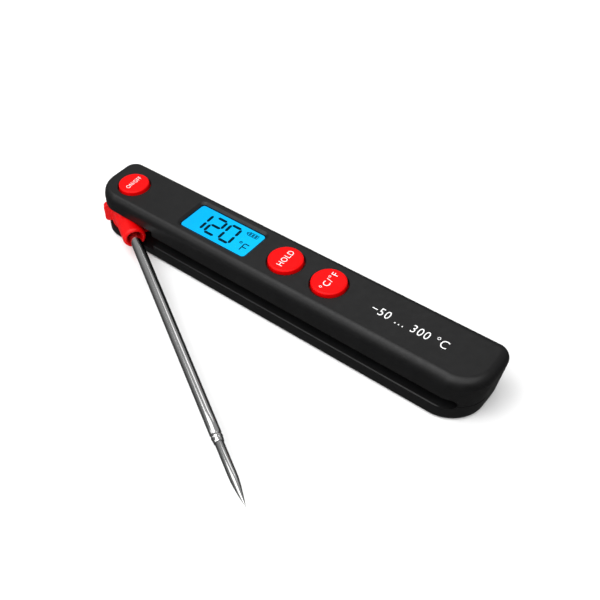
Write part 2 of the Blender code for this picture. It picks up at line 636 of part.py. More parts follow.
def make_probe_hub(mat):
    hub = hub_disc(mat)
    rim = BARREL_RADIUS
    profile = [(rim - 0.6 * MM, -3.0 * MM), (rim, -2.0 * MM), (rim, BARREL_MOUTH - 1.0 * MM),
               (rim - 0.25 * MM, BARREL_MOUTH - 0.4 * MM), (rim - 0.75 * MM, BARREL_MOUTH)]
    join(hub, probe_axis("barrel_shape", profile, 32))
    join(hub, thumb_tab())
    cut_hub_grooves(hub)
    profile = [(TUBE_RADIUS + GAP, 3.0 * MM), (TUBE_RADIUS + GAP, BARREL_MOUTH - 1.3 * MM),
               (3.0 * MM, BARREL_MOUTH), (3.6 * MM, BARREL_MOUTH + 1.04 * MM)]
    cut(hub, probe_axis("barrel_bore", profile, 24))
    cut(hub, probe_axis("lead_passage", [(1.5 * MM, -0.5 * MM), (1.5 * MM, 5.0 * MM)], 16))
    low = (-0.5 * MM, -PROBE_OFFSET, PROBE_Z - 1.2 * MM)
    cut(hub, box("lead_cross_passage", low, (2.0 * MM, 0.0, PROBE_Z + 1.2 * MM)))
    profile = [(2.4 * MM, PROBE_Z - 1.6 * MM), (2.4 * MM, PROBE_Z + 9 * MM)]
    cut(hub, turned("lead_well", profile, 20))
    return hub


def make_probe_tube(mat):
    bore = TUBE_RADIUS_END - 0.45 * MM
    taper_start = BARREL_MOUTH + 2 * MM
    back = 3.4 * MM
    groove = TUBE_RADIUS_END - 0.16 * MM
    outside = [(TUBE_RADIUS, back), (TUBE_RADIUS, taper_start), (TUBE_RADIUS_END, STEP_AT - 3.4 * MM),
               (groove, STEP_AT - 3.1 * MM), (groove, STEP_AT - 2.7 * MM),
               (TUBE_RADIUS_END, STEP_AT - 2.4 * MM), (TUBE_RADIUS_END - 0.06 * MM, STEP_AT - 1.7 * MM),
               (TIP_RADIUS + 0.1 * MM, STEP_AT)]
    inside = [(bore, STEP_AT), (bore, back)]
    bm = bmesh.new()
    profile = outside + inside
    loops = [[bm.verts.new(point) for point in circle(radius, z, 24)] for radius, z in profile]
    for k, low in enumerate(loops):
        high = loops[(k + 1) % len(loops)]
        for i in range(24):
            j = (i + 1) % 24
            bm.faces.new((low[i], low[j], high[j], high[i]))
    return along_x(new_object("probe_tube", bm, mat), (0.0, -PROBE_OFFSET, PROBE_Z))


def make_probe_tip(mat):
    bore = TIP_RADIUS - 0.35 * MM
    inner = TUBE_RADIUS_END - 0.45 * MM - 0.25 * MM
    start = STEP_AT - 4.0 * MM
    outside = [(bore, start), (inner, start), (inner, STEP_AT + 0.05 * MM), (TIP_RADIUS, STEP_AT + 0.3 * MM),
               (TIP_RADIUS, POINT_AT), (TIP_RADIUS * 0.93, POINT_AT + 2.2 * MM),
               (TIP_RADIUS * 0.74, POINT_AT + 5.2 * MM), (TIP_RADIUS * 0.4, POINT_AT + 8.4 * MM),
               (0.1 * MM, TIP_AT)]
    inside = [(bore * 0.6, POINT_AT + 1.5 * MM), (bore, POINT_AT + 0.5 * MM), (bore, start)]
    rings = [circle(radius, z, 24) for radius, z in list(reversed(outside)) + list(reversed(inside))[:-1]]
    return along_x(loft("probe_tip", rings, mat), (0.0, -PROBE_OFFSET, PROBE_Z))


def make_sensor(bead_mat, lead_mat):
    end = POINT_AT - 0.6 * MM
    profile = [(0.3 * MM, end - 3.2 * MM), (0.6 * MM, end - 2.8 * MM), (0.65 * MM, end - 0.7 * MM),
               (0.3 * MM, end)]
    probe_axis("thermistor_bead", profile, 16, bead_mat)
    y = -PROBE_OFFSET
    for number, side, rise_y in ((1, 1, -0.8 * MM), (2, -1, 0.9 * MM)):
        z = PROBE_Z + side * 0.45 * MM
        bend = [(4.6 * MM, y, z), (2.6 * MM, y + 0.4 * MM, z), (1.3 * MM, y + 1.7 * MM, z),
                (0.8 * MM, -2.4 * MM, z), (0.5 * MM, rise_y - 0.5 * MM, z + 0.6 * MM),
                (0.4 * MM, rise_y, PROBE_Z + 2.9 * MM), (0.4 * MM, rise_y, PROBE_Z + 4.8 * MM)]
        straight = [(end - 3.6 * MM, y, z), (60 * MM, y, z)]
        wire(f"sensor_lead_{number}", straight + smooth_path(bend, 4), 0.24 * MM, lead_mat)


def make_hinge_fittings(bush_mat, washer_mat, seal_mat):
    """Bearing rings that stay with the shells, and the washer and seal that turn with the hub."""
    inner = SPIGOT_RADIUS + 0.3 * MM
    outer = SPIGOT_RADIUS + 1.0 * MM
    centre = (HINGE_X, 0.0)
    upper_z = JAW_HIGH_Z + 0.05 * MM
    tube_ring("hinge_bush_upper", inner, outer, upper_z, upper_z + 0.9 * MM, 32, bush_mat, centre)
    tube_ring("hinge_bush_lower", inner, outer, 1.7 * MM, JAW_LOW_Z - 0.1 * MM, 32, bush_mat, centre)
    top = PROBE_Z + HUB_HALF_HEIGHT
    washer = tube_ring("friction_washer", 5.3 * MM, 7.9 * MM, -0.15 * MM, 0.15 * MM, 48, washer_mat)
    for vertex in washer.data.vertices:
        angle = math.atan2(vertex.co.y, vertex.co.x)
        vertex.co.z += top - 0.32 * MM + 0.12 * MM * math.cos(3 * angle)
    bottom = PROBE_Z - HUB_HALF_HEIGHT
    low_z = bottom + 0.15 * MM
    tube_ring("hub_seal", 5.1 * MM, 6.4 * MM, low_z, low_z + 0.85 * MM, 32, seal_mat, bevel=0.25 * MM)


def make_probe():
    pivot = bpy.data.objects.new("probe_pivot", None)
    bpy.context.scene.collection.objects.link(pivot)
    pivot.location = (HINGE_X, 0.0, 0.0)
    pivot.rotation_euler = (0.0, 0.0, PROBE_ANGLE)
    steel = material("polished_steel", (0.62, 0.62, 0.63), 0.12, 1.0)
    before = set(bpy.data.objects)
    make_probe_hub(material("hub_red", (0.75, 0.01, 0.015), 0.3))
    make_probe_tube(steel)
    make_probe_tip(material("tip_steel", (0.62, 0.62, 0.63), 0.12, 1.0))
    bead = material("bead_epoxy", (0.05, 0.05, 0.06), 0.4)
    make_sensor(bead, material("lead_copper", (0.6, 0.3, 0.15), 0.35, 1.0))
    bush = material("bush_white", (0.8, 0.8, 0.78), 0.4)
    washer = material("washer_steel", (0.5, 0.5, 0.5), 0.3, 1.0)
    make_hinge_fittings(bush, washer, material("seal_rubber", (0.03, 0.03, 0.03), 0.7))
    for obj in set(bpy.data.objects) - before:
        if not obj.name.startswith("hinge_bush"):
            obj.parent = pivot


def main():
    clear_scene()
    black = material("shell_black", (0.018, 0.018, 0.019), 0.45)
    make_upper_shell(black)
    make_lower_shell(black)
    make_slot_divider(black)
    make_battery_door(material("door_black", (0.018, 0.018, 0.019), 0.5))
    red = material("button_red", (0.8, 0.008, 0.012), 0.35)
    plunger = material("plunger_grey", (0.2, 0.2, 0.2), 0.5)
    switch = material("switch_black", (0.03, 0.03, 0.03), 0.5)
    for name, centre, radius, proud in button_list():
        make_button(name, centre, radius, proud, red, plunger)
        make_switch(name, centre, switch)
    lens = material("lens_clear", (0.02, 0.5, 0.9), 0.05)
    gasket = material("gasket_foam", (0.05, 0.05, 0.05), 0.9)
    glass = material("lcd_glass", (0.1, 0.55, 0.8), 0.1)
    guide = material("guide_white", (0.85, 0.85, 0.85), 0.3)
    led = material("led_white", (0.9, 0.9, 0.8), 0.3)
    make_display(lens, gasket, glass, guide, led, material("strip_pink", (0.7, 0.35, 0.35), 0.6))
    board = material("board_green", (0.02, 0.2, 0.07), 0.4)
    make_board(board, material("chip_epoxy", (0.01, 0.01, 0.01), 0.25))
    cell = material("cell_label", (0.25, 0.26, 0.28), 0.3, 0.6)
    contact = material("contact_nickel", (0.6, 0.58, 0.55), 0.25, 1.0)
    spring = material("spring_nickel", (0.6, 0.58, 0.55), 0.25, 1.0)
    make_battery(cell, contact, spring, material("lead_red", (0.6, 0.02, 0.02), 0.4))
    make_screws(material("screw_steel", (0.35, 0.35, 0.36), 0.3, 1.0))
    make_probe()


main()
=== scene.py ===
"""The looks of a folding meat thermometer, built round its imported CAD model.

The handle lies on its flat back with the display up. Shells, door, buttons, display and probe are
remade here as fine meshes on the CAD's own sizes; the pieces inside keep their CAD meshes and get
procedural materials.
"""

import json
import math

import bmesh
import bpy
from mathutils import Matrix, Vector


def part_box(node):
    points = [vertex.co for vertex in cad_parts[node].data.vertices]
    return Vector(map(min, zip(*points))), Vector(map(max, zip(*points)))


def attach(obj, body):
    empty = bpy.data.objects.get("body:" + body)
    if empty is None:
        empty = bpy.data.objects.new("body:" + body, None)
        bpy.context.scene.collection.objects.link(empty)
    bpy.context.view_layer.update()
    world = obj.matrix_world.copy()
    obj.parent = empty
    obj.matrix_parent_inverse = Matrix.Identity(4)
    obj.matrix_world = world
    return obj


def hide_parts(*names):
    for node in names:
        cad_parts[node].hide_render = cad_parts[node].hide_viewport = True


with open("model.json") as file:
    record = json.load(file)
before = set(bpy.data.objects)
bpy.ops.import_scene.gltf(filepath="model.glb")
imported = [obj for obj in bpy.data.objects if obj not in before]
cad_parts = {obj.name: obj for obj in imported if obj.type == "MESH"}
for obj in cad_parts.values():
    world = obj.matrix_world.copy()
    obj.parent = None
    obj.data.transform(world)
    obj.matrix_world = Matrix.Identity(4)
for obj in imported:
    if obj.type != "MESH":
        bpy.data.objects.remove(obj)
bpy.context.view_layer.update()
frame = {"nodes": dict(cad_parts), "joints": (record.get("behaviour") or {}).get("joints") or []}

MM = 0.001


def middle_of(node):
    """The middle of a node's box, in plan."""
    low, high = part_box(node)
    return (low.x + high.x) / 2, (low.y + high.y) / 2


# ---------------------------------------------------------------- sizes read from the frame

JOINTS = {joint["name"]: joint for joint in frame["joints"]}
HINGE = Vector(JOINTS["probe_hinge"]["pos_m"])
PROBE_ANGLE = -math.radians(JOINTS["probe_hinge"]["range_deg"][1])   # direction of the open probe
LENS_LOW, LENS_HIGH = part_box("display_lens")
UPPER_LOW, UPPER_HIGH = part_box("upper_shell")
DOOR_LOW, DOOR_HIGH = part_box("battery_door")
SCREW_CENTRES = [middle_of(f"housing_screw_{number}") for number in (1, 2, 3)]

# Handle, repeating the CAD's own outline
HEIGHT = UPPER_HIGH.z
HINGE_END_X = UPPER_LOW.x
FAR_END_X = UPPER_HIGH.x
LENGTH = FAR_END_X - HINGE_END_X
HALF_WIDTH_HINGE = 10.4 * MM
HALF_WIDTH_FAR = UPPER_HIGH.y
CORNERS = (9.2 * MM, 11.1 * MM, 4.6 * MM, 5.0 * MM)   # in plan, counter-clockwise from the hinge's -Y corner
CORNER_STEPS = 20
END_CROWN = 0.6 * MM         # how far the far end bulges at its middle
END_LEAN = 3.6 * MM          # how far it leans back from the top to the underside
EDGE_TOP_IN = 2.3 * MM       # the top edge is a quarter ellipse, deeper than it is wide
EDGE_SPREAD = 1.55           # how much wider that edge is at the far end
EDGE_TOP_DOWN = 4.0 * MM
EDGE_BACK = 1.5 * MM
WALL = 1.6 * MM
GAP = 0.3 * MM
RIM = 0.15 * MM              # small rounding where the two shells meet
RIM_STEP = 0.06 * MM
CEILING_Z = HEIGHT - WALL
PARTING_UPPER = UPPER_LOW.z
PARTING_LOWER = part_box("lower_shell")[1].z
PAST_WALL = 20 * MM          # cutting tools reach this far from the centre line, past the side walls
GRIP_GROOVES = 5             # on the battery door
GRIP_PITCH = 1.8 * MM

# Probe, hinge and slot
TUBE_RADIUS = 1.95 * MM
TUBE_RADIUS_END = 1.82 * MM
TUBE_WALL = 0.45 * MM
TUBE_ROOT = 3.4 * MM         # where the tube starts inside the hub
TIP_RADIUS = 1.38 * MM
HUB_RADIUS = 10.1 * MM
HUB_HALF_HEIGHT = 4.1 * MM
BARREL_RADIUS = 4.05 * MM
BARREL_MOUTH = 16.2 * MM
PROBE_OFFSET = 5.67 * MM     # of the probe's axis from the hinge's
STEP_AT = 110.6 * MM         # from the hinge along the probe: the tube's end, the point's start, the tip
POINT_AT = 122.6 * MM
TIP_AT = 133.8 * MM
BEARING_RADIUS = 5.6 * MM
SLOT_INNER_Y = -3.35 * MM
SLOT_HALF_HEIGHT = 2.25 * MM
SLOT_END_X = HINGE.x + 139.0 * MM
SLOT_COVER = 1.2 * MM        # solid above, below and past the slot
SLOT_FLARE = 0.35 * MM       # softening of its mouth
POCKET_LENGTH = 16.9 * MM
JAW_BLOCK_END_X = HINGE.x + 19 * MM
JAW_LOW_Z = HINGE.z - HUB_HALF_HEIGHT - GAP
JAW_HIGH_Z = HINGE.z + HUB_HALF_HEIGHT + GAP
HUB_VOXEL = 0.17 * MM
HUB_BLEND = 1.1 * MM         # reach of the blend between barrel and disc

# Buttons and printed legends
KEY_FLANGE = 1.0 * MM
KEY_CLEARANCE = 0.35 * MM
KEY_HOLE_EDGE = 0.5 * MM
CAP_RIM = 0.16               # share of a cap's radius that its rounded rim takes
CAP_RIM_DROP = 0.55 * MM
CAP_DOME = 0.06 * MM
LEGEND_LIFT = 0.02 * MM
LEGEND_ANGLE = 93.0          # degrees, from the handle's length to the words on the buttons
RANGE_LEGEND_PLACE = (HINGE.x + 115.5 * MM, -0.3 * MM)
# Button, piece name, words, length along the line, height across it, letter spacing
LEGENDS = (("on_off", "power_legend", "ON/OFF", 6.9 * MM, 1.65 * MM, 1.12),
           ("hold", "hold_legend", "HOLD", 7.6 * MM, 2.2 * MM, 1.1),
           ("unit", "scale_legend", "°C/°F", 8.1 * MM, 2.5 * MM, 1.2))

# Display
LENS_RADIUS = 1.1 * MM
FRAME_SLOPE = 1.1 * MM
SEGMENTS = {"1": "bc", "2": "abged", "0": "abcdef"}
DIGITS = (("1", -11.5 * MM), ("2", -5.3 * MM), ("0", 0.95 * MM))   # digit, and its left side from the middle
DIGIT_SIZE = (4.35 * MM, 7.9 * MM)
DIGIT_STROKE = 1.05 * MM
DIGIT_LEAN = -0.06
LETTER_STROKE = 0.42 * MM

# Studio: each lamp's name, place, size and watts; the sky's greys by height
LAMPS = (("key", (0.15, -0.35, 0.75), (1.3, 1.0), 9.0), ("overhead", (-0.35, -0.25, 0.75), (0.7, 0.7), 3.0),
         ("side", (-0.45, -0.75, 0.35), (0.5, 0.4), 1.0), ("back", (-0.33, 0.58, 0.74), (0.6, 0.16), 0.5))
SKY_GREYS = ((0.4, 0.16), (0.55, 0.35), (0.8, 0.75))
SKY_STRENGTH = 0.6
CAMERA_PLACE = (0.150727, -0.179666, 0.238528)
CAMERA_ANGLES = (39.1452, 45.2944, 1.8047)   # azimuth, elevation and roll, in degrees
CAMERA_LENS = 60.035


# ---------------------------------------------------------------- materials

class Finish:
    """A Principled material under construction, with short names for the nodes it needs."""

    def __init__(self, name, metallic=0.0):
        self.material = bpy.data.materials.new(name)
        self.material.use_nodes = True
        self.tree = self.material.node_tree
        self.shader = self.tree.nodes["Principled BSDF"]
        self.shader.inputs["Metallic"].default_value = metallic

    def set(self, **values):
        for name, value in values.items():
            self.shader.inputs[name.replace("_", " ")].default_value = value
        return self

    def node(self, kind, **settings):
        node = self.tree.nodes.new(kind)
        for name, value in settings.items():
            setattr(node, name, value)
        return node

    def link(self, source, target):
        self.tree.links.new(source, target)

    def place(self, scale=(1.0, 1.0, 1.0), rotation=(0.0, 0.0, 0.0)):
        coordinates = self.node("ShaderNodeTexCoord")
        mapping = self.node("ShaderNodeMapping")
        mapping.inputs["Scale"].default_value = scale
        mapping.inputs["Rotation"].default_value = rotation
        self.link(coordinates.outputs["Object"], mapping.inputs["Vector"])
        return mapping.outputs["Vector"]

    def noise(self, scale, detail=3.0, place=None):
        """A noise, which stays mostly between 0.3 and 0.7."""
        noise = self.node("ShaderNodeTexNoise")
        noise.inputs["Scale"].default_value = scale
        noise.inputs["Detail"].default_value = detail
        self.link(place or self.place(), noise.inputs["Vector"])
        return noise.outputs["Fac"]

    def ramp(self, factor, stops):
        ramp = self.node("ShaderNodeValToRGB")
        elements = ramp.color_ramp.elements
        while len(elements) < len(stops):
            elements.new(0.5)
        for element, (position, colour) in zip(elements, stops):
            element.position = position
            element.color = (*colour, 1.0)
        self.link(factor, ramp.inputs["Fac"])
        return ramp.outputs["Color"]

    def colour(self, factor, low, high):
        """Base colour that drifts between two close tones."""
        self.link(self.ramp(factor, ((0.3, low), (0.7, high))), self.shader.inputs["Base Color"])

    def roughness(self, factor, low, high):
        spread = self.node("ShaderNodeMapRange")
        spread.inputs["From Min"].default_value = 0.3
        spread.inputs["From Max"].default_value = 0.7
        spread.inputs["To Min"].default_value = low
        spread.inputs["To Max"].default_value = high
        self.link(factor, spread.inputs["Value"])
        self.link(spread.outputs["Result"], self.shader.inputs["Roughness"])

    def bump(self, height, strength, distance):
        bump = self.node("ShaderNodeBump")
        bump.inputs["Strength"].default_value = strength
        bump.inputs["Distance"].default_value = distance
        self.link(height, bump.inputs["Height"])
        self.link(bump.outputs["Normal"], self.shader.inputs["Normal"])


def moulded(name, low, high, rough, grain=0.35, specular=0.5):
    """Moulded plastic: a fine spark-eroded grain, and a slow drift of tone and gloss."""
    finish = Finish(name).set(Specular_IOR_Level=specular)
    finish.colour(finish.noise(140.0), low, high)
    finish.roughness(finish.noise(420.0), rough - 0.05, rough + 0.06)
    finish.bump(finish.noise(5200.0, 2.0), grain, 0.012 * MM)
    return finish.material


def metal(name, low, high, rough, stretch=(1.0, 1.0, 1.0), angle=0.0):
    """Drawn or turned metal, with faint lines along one direction."""
    finish = Finish(name, metallic=1.0)
    place = finish.place(stretch, (0.0, 0.0, angle))
    finish.colour(finish.noise(160.0), low, high)
    finish.roughness(finish.noise(1500.0, 3.0, place), rough - 0.03, rough + 0.05)
    finish.bump(finish.noise(2600.0, 3.0, place), 0.12, 0.004 * MM)
    return finish.material


def banded(name, bands, axis, period, rough, metallic=0.0):
    """A material striped along one axis, such as a rubber strip with conducting layers."""
    finish = Finish(name, metallic=metallic)
    wave = finish.node("ShaderNodeTexWave", bands_direction=axis)
    wave.inputs["Scale"].default_value = 1.0 / period / 3.14   # about one band to a period
    wave.inputs["Distortion"].default_value = 0.4
    finish.link(finish.place(), wave.inputs["Vector"])
    finish.link(finish.ramp(wave.outputs["Fac"], bands), finish.shader.inputs["Base Color"])
    finish.roughness(finish.noise(900.0), rough - 0.05, rough + 0.05)
    finish.bump(wave.outputs["Fac"], 0.1, 0.01 * MM)
    return finish.material


def lit_display(name, centre, size):
    """The backlit face: bright cyan, a little bluer towards the end away from the light."""
    finish = Finish(name).set(Specular_IOR_Level=0.0, Emission_Strength=1.0)
    finish.colour(finish.noise(300.0), (0.0, 0.10, 0.2), (0.0, 0.12, 0.24))
    coordinates = finish.node("ShaderNodeTexCoord")
    split = finish.node("ShaderNodeSeparateXYZ")
    finish.link(coordinates.outputs["Object"], split.inputs["Vector"])
    along = finish.node("ShaderNodeMapRange")
    along.inputs["From Min"].default_value = centre.x - size.x / 2
    along.inputs["From Max"].default_value = centre.x + size.x / 2
    finish.link(split.outputs["X"], along.inputs["Value"])
    tones = ((0.0, (0.004, 0.44, 0.95)), (0.35, (0.004, 0.49, 1.0)), (1.0, (0.006, 0.56, 1.0)))
    glow = finish.ramp(along.outputs["Result"], tones)
    finish.link(glow, finish.shader.inputs["Emission Color"])
    finish.bump(finish.noise(3000.0), 0.05, 0.005 * MM)
    return finish.material


def clear_cover(name):
    """Clear acrylic with faint rubbed marks."""
    finish = Finish(name).set(Alpha=0.05, Specular_IOR_Level=0.08)
    finish.colour(finish.noise(200.0), (0.01, 0.03, 0.04), (0.02, 0.05, 0.06))
    finish.roughness(finish.noise(700.0), 0.08, 0.14)
    return finish.material


def circuit_green(name):
    """Solder mask over copper tracks."""
    finish = Finish(name)
    tracks = finish.node("ShaderNodeTexBrick", offset=0.35)
    tracks.inputs["Scale"].default_value = 420.0
    tracks.inputs["Mortar Size"].default_value = 0.05
    tracks.inputs["Color1"].default_value = (0.008, 0.11, 0.035, 1.0)
    tracks.inputs["Color2"].default_value = (0.010, 0.13, 0.04, 1.0)
    tracks.inputs["Mortar"].default_value = (0.03, 0.24, 0.08, 1.0)
    finish.link(finish.place(), tracks.inputs["Vector"])
    finish.link(tracks.outputs["Color"], finish.shader.inputs["Base Color"])
    finish.roughness(finish.noise(600.0), 0.25, 0.38)
    finish.bump(tracks.outputs["Fac"], 0.2, 0.02 * MM)
    return finish.material


def finishes():
    """One procedural material for each of the record's slots, and for the prints and the display."""
    line = (1.0, 30.0, 30.0)
    made = {
        "shell_black": moulded("black_plastic", (0.0042, 0.0042, 0.0044), (0.0056, 0.0056, 0.0058), 0.4,
                               0.3, 0.26),
        "button_red": moulded("button_plastic", (0.72, 0.0004, 0.001), (0.80, 0.0006, 0.0014), 0.42,
                              0.12, 0.12),
        "hub_red": moulded("hub_plastic", (0.62, 0.0004, 0.001), (0.70, 0.0006, 0.0014), 0.34, 0.1, 0.22),
        "polished_steel": metal("polished_steel", (0.50, 0.50, 0.50), (0.57, 0.57, 0.57), 0.13, line,
                                -PROBE_ANGLE),
        "display_lens": clear_cover("clear_acrylic"),
        "lcd_glass": moulded("display_glass", (0.30, 0.40, 0.36), (0.33, 0.43, 0.39), 0.12, 0.05),
        "light_guide": moulded("light_guide_acrylic", (0.78, 0.80, 0.80), (0.86, 0.87, 0.86), 0.25, 0.1),
        "black_rubber": moulded("black_rubber", (0.012, 0.012, 0.012), (0.02, 0.02, 0.02), 0.75, 0.6, 0.3),
        "switch_plastic": moulded("switch_plastic", (0.018, 0.018, 0.02), (0.028, 0.028, 0.03), 0.5),
        "circuit_board": circuit_green("circuit_board"),
        "epoxy_black": moulded("black_epoxy", (0.006, 0.006, 0.007), (0.012, 0.012, 0.013), 0.22, 0.5),
        "nickel_steel": metal("nickel_plate", (0.55, 0.53, 0.48), (0.64, 0.62, 0.57), 0.24),
        "screw_steel": metal("screw_steel", (0.30, 0.30, 0.31), (0.42, 0.42, 0.43), 0.3),
        "lead_red": moulded("red_insulation", (0.5, 0.012, 0.012), (0.58, 0.018, 0.016), 0.42, 0.2),
        "lead_copper": metal("enamelled_copper", (0.52, 0.21, 0.09), (0.62, 0.28, 0.13), 0.3),
        "bush_plastic": moulded("acetal_bush", (0.70, 0.70, 0.66), (0.78, 0.78, 0.75), 0.35, 0.2),
        "legend_white": moulded("white_print", (0.80, 0.80, 0.80), (0.90, 0.90, 0.90), 0.5, 0.2, 0.3),
        "digit_black": moulded("display_segment", (0.0, 0.012, 0.022), (0.0, 0.016, 0.028), 0.4, 0.05, 0.0),
        "icon_blue": moulded("display_icon", (0.0, 0.10, 0.20), (0.0, 0.13, 0.25), 0.4, 0.05, 0.0),
    }
    zebra = ((0.35, (0.02, 0.02, 0.02)), (0.5, (0.55, 0.22, 0.22)), (0.75, (0.62, 0.28, 0.27)))
    made["connector_rubber"] = banded("connector_rubber", zebra, "X", 0.4 * MM, 0.6)
    jacket = ((0.0, (0.02, 0.02, 0.022)), (0.6, (0.03, 0.03, 0.033)), (0.8, (0.55, 0.42, 0.10)))
    made["cell_can"] = banded("cell_jacket", jacket, "X", 40 * MM, 0.28, 0.6)
    return made


# ---------------------------------------------------------------- mesh helpers

def new_piece(name, bm, material=None, sharp=35.0):
    bmesh.ops.recalc_face_normals(bm, faces=bm.faces)
    mesh = bpy.data.meshes.new(name)
    bm.to_mesh(mesh)
    bm.free()
    piece = bpy.data.objects.new(name, mesh)
    bpy.context.scene.collection.objects.link(piece)
    mesh.shade_smooth()
    mesh.set_sharp_from_angle(angle=math.radians(sharp))
    if material is not None:
        mesh.materials.append(material)
    return piece


def loft(name, rings, closed=False):
    """A solid through rings of equal length, capped at its ends or joined from last to first."""
    bm = bmesh.new()
    loops = [[bm.verts.new(point) for point in ring] for ring in rings]
    count = len(loops[0])
    pairs = list(zip(loops, loops[1:]))
    if closed:
        pairs.append((loops[-1], loops[0]))
    for low, high in pairs:
        for i in range(count):
            j = (i + 1) % count
            bm.faces.new((low[i], low[j], high[j], high[i]))
    if not closed:
        bm.faces.new(list(reversed(loops[0])))
        bm.faces.new(loops[-1])
    return new_piece(name, bm)


def prism(name, outline, z_low, z_high):
    return loft(name, [[(x, y, z) for x, y in outline] for z in (z_low, z_high)])


def rectangle(x_low, y_low, x_high, y_high):
    return [(x_low, y_low), (x_high, y_low), (x_high, y_high), (x_low, y_high)]


def box(name, low, high):
    return prism(name, rectangle(low[0], low[1], high[0], high[1]), low[2], high[2])


def circle(radius, z, sides, centre=(0.0, 0.0)):
    turn = 2 * math.pi / sides
    return [(centre[0] + radius * math.cos(i * turn), centre[1] + radius * math.sin(i * turn), z)
            for i in range(sides)]


def turned(name, profile, sides, centre=(0.0, 0.0), closed=False):
    """A solid of revolution about a vertical line, from (radius, z) pairs."""
    return loft(name, [circle(radius, z, sides, centre) for radius, z in profile], closed)


def along_probe(piece):
    """Turns a piece made about Z, from z = 0 at the hinge, onto the probe's axis."""
    lie = Matrix.Translation((0.0, -PROBE_OFFSET, HINGE.z)) @ Matrix.Rotation(math.pi / 2, 4, "Y")
    swing = Matrix.Translation((HINGE.x, HINGE.y, 0.0)) @ Matrix.Rotation(PROBE_ANGLE, 4, "Z")
    piece.data.transform(swing @ lie)
    return piece


def arc(centre, radius, start, end, steps):
    """(across, up) points on an arc, angles in degrees."""
    points = []
    for k in range(steps + 1):
        angle = math.radians(start + (end - start) * k / steps)
        points.append((centre[0] + radius * math.cos(angle), centre[1] + radius * math.sin(angle)))
    return points


def shaped(piece, tool, operation="DIFFERENCE"):
    """Cuts, joins or intersects a piece with a tool, which is then removed."""
    modifier = piece.modifiers.new(tool.name, "BOOLEAN")
    modifier.operation = operation
    modifier.solver = "EXACT"
    modifier.object = tool
    apply_modifiers(piece)
    bpy.data.objects.remove(tool)
    return piece


def apply_modifiers(piece):
    bpy.context.view_layer.update()
    evaluated = piece.evaluated_get(bpy.context.evaluated_depsgraph_get())
    mesh = bpy.data.meshes.new_from_object(evaluated)
    piece.modifiers.clear()
    piece.data = mesh


def finish_piece(piece, body, slot, replaced=(), material=None, sharp=35.0):
    """Smooths a finished mesh, gives it its material and lets it ride on its body."""
    mesh = piece.data
    mesh.materials.clear()
    mesh.materials.append(material or FINISHES[slot])
    mesh.polygons.foreach_set("material_index", [0] * len(mesh.polygons))
    mesh.shade_smooth()
    mesh.set_sharp_from_angle(angle=math.radians(sharp))
    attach(piece, body)
    if replaced:
        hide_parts(*replaced)
    return piece


def weighted(piece):
    """Keeps flat faces flat beside their rounded edges."""
    modifier = piece.modifiers.new("normals", "WEIGHTED_NORMAL")
    modifier.keep_sharp = True
    modifier.weight = 60


# ---------------------------------------------------------------- outline of the handle

def corner(centre, radius, start, steps):
    return [(centre[0] + radius * math.cos(start + k * math.pi / 2 / steps),
             centre[1] + radius * math.sin(start + k * math.pi / 2 / steps)) for k in range(steps + 1)]


def handle_outline(inset, z, spread=1.0):
    """The outline seen from above at the height z, pulled in by inset, times spread at the far end."""
    steps = CORNER_STEPS
    far_inset = inset * spread
    far_x = FAR_END_X - END_CROWN - END_LEAN * (HEIGHT - z) / HEIGHT - far_inset
    near_x = HINGE_END_X + inset
    half_near = HALF_WIDTH_HINGE - inset
    half_far = HALF_WIDTH_FAR - far_inset
    insets = (inset, far_inset, far_inset, inset)
    r_a, r_b, r_c, r_d = [max(radius - pull, 0.6 * MM) for radius, pull in zip(CORNERS, insets)]
    points = corner((near_x + r_a, -half_near + r_a), r_a, math.pi, steps)
    points += corner((far_x - r_b, -half_far + r_b), r_b, 1.5 * math.pi, steps)
    low = -half_far + r_b
    high = half_far - r_c
    points += [(far_x, low + share * (high - low) / 8) for share in range(1, 8)]
    points += corner((far_x - r_c, half_far - r_c), r_c, 0.0, steps)
    points += corner((near_x + r_d, half_near - r_d), r_d, 0.5 * math.pi, steps)
    crowned = []
    for x, y in points:
        reach = max(0.0, 1.0 - (y / half_far) ** 2) if x > 0.0 else 0.0
        crowned.append((x + END_CROWN * reach, y))
    return crowned


def handle_ring(inset, z, spread=1.0):
    return [(x, y, z) for x, y in handle_outline(inset, z, spread)]


def half_width(x):
    return HALF_WIDTH_HINGE + (HALF_WIDTH_FAR - HALF_WIDTH_HINGE) * (x - HINGE_END_X) / LENGTH


def rounded_edge(inward, downward, z_flat, steps):
    """(inset, z) pairs of a rounded rim, from the side wall to the flat face."""
    pairs = []
    for k in range(steps + 1):
        angle = k * math.pi / 2 / steps
        pairs.append((inward * (1 - math.cos(angle)), z_flat - downward * (1 - math.sin(angle))))
    return pairs


def rounded_rectangle(centre, size, radius, steps=8):
    half_x = size[0] / 2 - radius
    half_y = size[1] / 2 - radius
    points = []
    for k, (sx, sy) in enumerate(((1, 1), (-1, 1), (-1, -1), (1, -1))):
        points += corner((centre[0] + sx * half_x, centre[1] + sy * half_y), radius, k * math.pi / 2, steps)
    return points


def clipped_outline(inset, end_x):
    """The hinge end of the handle's outline, cut straight at end_x."""
    points = [(x, y) for x, y in handle_outline(inset, HEIGHT) if x < end_x]
    lower = [p for p in points if p[1] < 0]
    upper = [p for p in points if p[1] >= 0]
    half = lower[-1][1]
    return lower + [(end_x, half), (end_x, -half)] + upper


# ---------------------------------------------------------------- shells and door

